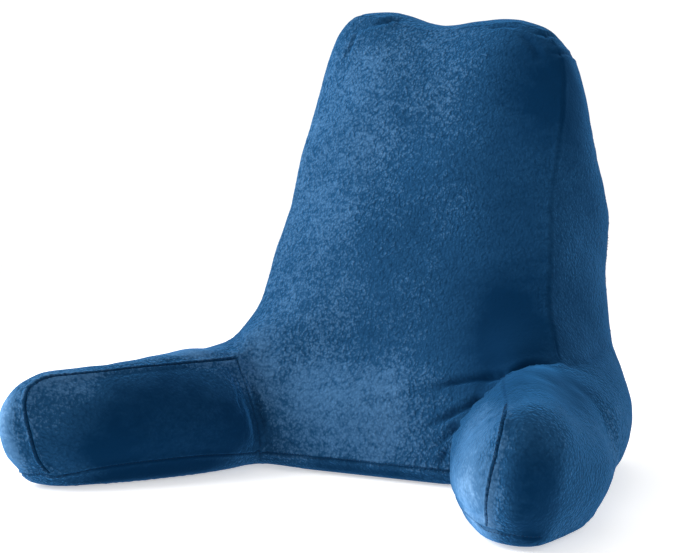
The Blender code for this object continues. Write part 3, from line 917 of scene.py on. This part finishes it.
def stitch_tree(material):
    """Geometry nodes that lay one small stitch after another along a curve."""
    tree = bpy.data.node_groups.new("seam_stitches", "GeometryNodeTree")
    group_sockets(tree,
                  (("Seams", "NodeSocketGeometry", None), ("Pitch", "NodeSocketFloat", 0.004),
                   ("Stitch", "NodeSocketFloat", 0.003), ("Gauge", "NodeSocketFloat", 0.0004)),
                  (("Thread", "NodeSocketGeometry"),))
    ends = node(tree, "NodeGroupInput")
    out = node(tree, "NodeGroupOutput")
    curve = node(tree, "GeometryNodeMeshToCurve")
    even = node(tree, "GeometryNodeCurveToPoints", mode="LENGTH")
    stitch = node(tree, "GeometryNodeMeshUVSphere", {"Segments": 6, "Rings": 5, "Radius": 1.0})
    size = node(tree, "ShaderNodeCombineXYZ")
    half = node(tree, "ShaderNodeMath", {1: 0.5}, operation="MULTIPLY")
    shape = node(tree, "GeometryNodeTransform")
    place = node(tree, "GeometryNodeInstanceOnPoints")
    turn = node(tree, "FunctionNodeAlignRotationToVector", axis="Z")
    real = node(tree, "GeometryNodeRealizeInstances")
    paint = node(tree, "GeometryNodeSetMaterial", {"Material": material})
    link(tree, ends.outputs["Seams"], curve.inputs["Mesh"])
    link(tree, curve.outputs["Curve"], even.inputs["Curve"])
    link(tree, ends.outputs["Pitch"], even.inputs["Length"])
    link(tree, ends.outputs["Stitch"], half.inputs[0])
    link(tree, ends.outputs["Gauge"], size.inputs["X"])
    link(tree, ends.outputs["Gauge"], size.inputs["Y"])
    link(tree, half.outputs[0], size.inputs["Z"])
    link(tree, stitch.outputs["Mesh"], shape.inputs["Geometry"])
    link(tree, size.outputs[0], shape.inputs["Scale"])
    link(tree, even.outputs["Points"], place.inputs["Points"])
    link(tree, shape.outputs["Geometry"], place.inputs["Instance"])
    link(tree, even.outputs["Tangent"], turn.inputs["Vector"])
    link(tree, turn.outputs["Rotation"], place.inputs["Rotation"])
    link(tree, place.outputs["Instances"], real.inputs["Geometry"])
    link(tree, real.outputs["Geometry"], paint.inputs["Geometry"])
    link(tree, paint.outputs["Geometry"], out.inputs["Thread"])
    return tree


def set_input(modifier, name, value):
    """Set a geometry nodes input by the identifier of its socket."""
    for item in modifier.node_group.interface.items_tree:
        if item.name == name and item.in_out == "INPUT":
            modifier[item.identifier] = value


STITCHED = 0.25     # strength of a seam from which its stitches show


def make_stitches(cover, settings):
    """One mesh with every stitch that shows, lying in the groove of its seam."""
    packed = merged_solid()
    seams = seam_lines(packed)
    packed.free()
    mesh = bpy.data.meshes.new("seam_stitches")
    tree = surface_tree(cover)
    points, edges = [], []
    for fine, strength, line in seams:
        if not fine or strength < STITCHED:
            continue
        start = len(points)
        for point in line:
            near, out, _, _ = tree.find_nearest(Vector(point))
            points.append(near + out * settings.sink)
        edges += [(index, index + 1) for index in range(start, len(points) - 1)]
    mesh.from_pydata(points, edges, [])
    stitches = new_object("seam_stitches", mesh)
    rows = stitches.modifiers.new("stitches", "NODES")
    rows.node_group = stitch_tree(thread_material())
    set_input(rows, "Pitch", settings.pitch)
    set_input(rows, "Stitch", settings.stitch)
    set_input(rows, "Gauge", settings.gauge)
    finished(stitches)
    stitches.data.shade_smooth()
    return stitches


# ---------------------------------------------------------------- operators

class PILLOW_OT_cover(bpy.types.Operator):
    """Sew and stuff the velour cover"""
    bl_idname = "pillow.cover"
    bl_label = "Sew the cover"

    def execute(self, context):
        cover = make_cover(context.scene.pillow_cover)
        cover.data.materials.clear()
        cover.data.materials.append(velour_material(context.scene.pillow_velour))
        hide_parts(NODE)
        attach(cover, "root")
        return {"FINISHED"}


class PILLOW_OT_stitches(bpy.types.Operator):
    """Lay the stitches in the cover's seams"""
    bl_idname = "pillow.stitches"
    bl_label = "Stitch the seams"

    def execute(self, context):
        cover = bpy.data.objects["velour_cover"]
        stitches = make_stitches(cover, context.scene.pillow_thread)
        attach(stitches, "root")
        return {"FINISHED"}


# Lamps that look at the pillow's middle, with the setting that holds each one's power.
#    name          power   size  place
LAMPS = (
    ("lamp_left", "key", 2.2, (-2.3, -1.1, 1.5)),
    ("lamp_right", "fill", 1.6, (2.2, -0.6, 1.1)),
    ("lamp_above", "top", 1.8, (-0.4, 0.4, 2.4)),
)
LAMP_AIM = (0.0, 0.0, 0.28)
WALL_FADE = (0.45, 0.68)    # from the front's strength to the wall's, along the way's Y
FLOOR_SEGMENTS = 96


def area_lamp(name, power, size, place):
    """A square lamp that looks at the pillow's middle."""
    light = bpy.data.lights.new(name, "AREA")
    light.energy = power
    light.size = size
    lamp = new_object(name, light)
    lamp.location = place
    way = Vector(LAMP_AIM) - Vector(place)
    lamp.rotation_euler = way.to_track_quat("-Z", "Y").to_euler()


def studio_world(front, back):
    """White surroundings: a bright wall behind the pillow, dimmer in front of it."""
    world = bpy.data.worlds.new("studio")
    world.use_nodes = True
    tree = world.node_tree
    wall = tree.nodes["Background"]
    wall.inputs["Color"].default_value = (1, 1, 1, 1)
    way = node(tree, "ShaderNodeTexCoord")
    parts = node(tree, "ShaderNodeSeparateXYZ")
    share = node(tree, "ShaderNodeMapRange",
                 {"From Min": WALL_FADE[0], "From Max": WALL_FADE[1],
                  "To Min": front, "To Max": back}, interpolation_type="SMOOTHSTEP")
    link(tree, way.outputs["Generated"], parts.inputs["Vector"])
    link(tree, parts.outputs["Y"], share.inputs["Value"])
    link(tree, share.outputs["Result"], wall.inputs["Strength"])
    return world


class PILLOW_OT_stage(bpy.types.Operator):
    """Set the pale floor, the lamps and the camera"""
    bl_idname = "pillow.stage"
    bl_label = "Set the stage"

    def execute(self, context):
        settings = context.scene.pillow_stage
        mesh = bpy.data.meshes.new("floor")
        grid = bmesh.new()
        bmesh.ops.create_circle(grid, cap_ends=True, segments=FLOOR_SEGMENTS,
                                radius=settings.reach)
        grid.to_mesh(mesh)
        grid.free()
        mesh.materials.append(floor_material(tuple(settings.floor), settings.glow))
        new_object("floor", mesh)

        context.scene.world = studio_world(settings.sky_front, settings.sky_back)
        context.scene.view_settings.view_transform = "Standard"
        for name, power, size, place in LAMPS:
            area_lamp(name, getattr(settings, power), size, place)

        camera = bpy.data.cameras.new("camera")
        camera.sensor_width = SENSOR
        camera.lens = FOCAL_PIXELS * SENSOR / PICTURE[0]
        camera.shift_x = (PICTURE[0] / 2 - CENTRE_PIXEL[0]) / PICTURE[0]
        camera.shift_y = (CENTRE_PIXEL[1] - PICTURE[1] / 2) / PICTURE[0]
        eye = new_object("camera", camera)
        eye.location = CAMERA_AT
        eye.rotation_euler = camera_turn()
        context.scene.camera = eye
        return {"FINISHED"}


class PILLOW_PT_panel(bpy.types.Panel):
    """Sidebar panel of the reading pillow"""
    bl_label = "Reading Pillow"
    bl_idname = "PILLOW_PT_panel"
    bl_space_type = "VIEW_3D"
    bl_region_type = "UI"
    bl_category = "Pillow"

    def draw(self, context):
        scene = context.scene
        for group in (scene.pillow_cover, scene.pillow_thread, scene.pillow_velour,
                      scene.pillow_stage):
            box = self.layout.box()
            for name in group.bl_rna.properties.keys():
                if name not in {"rna_type", "name"}:
                    box.prop(group, name)
        self.layout.operator(PILLOW_OT_cover.bl_idname)
        self.layout.operator(PILLOW_OT_stitches.bl_idname)
        self.layout.operator(PILLOW_OT_stage.bl_idname)


CLASSES = (PillowCover, PillowThread, PillowVelour, PillowStage, PILLOW_OT_cover,
           PILLOW_OT_stitches, PILLOW_OT_stage, PILLOW_PT_panel)


def register():
    for item in CLASSES:
        bpy.utils.register_class(item)
    bpy.types.Scene.pillow_cover = PointerProperty(type=PillowCover)
    bpy.types.Scene.pillow_thread = PointerProperty(type=PillowThread)
    bpy.types.Scene.pillow_velour = PointerProperty(type=PillowVelour)
    bpy.types.Scene.pillow_stage = PointerProperty(type=PillowStage)


def unregister():
    for name in ("pillow_cover", "pillow_thread", "pillow_velour", "pillow_stage"):
        delattr(bpy.types.Scene, name)
    for item in reversed(CLASSES):
        bpy.utils.unregister_class(item)


def main():
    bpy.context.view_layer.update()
    register()
    bpy.ops.pillow.cover()
    bpy.ops.pillow.stitches()
    bpy.ops.pillow.stage()


if __name__ == "__main__":
    main()
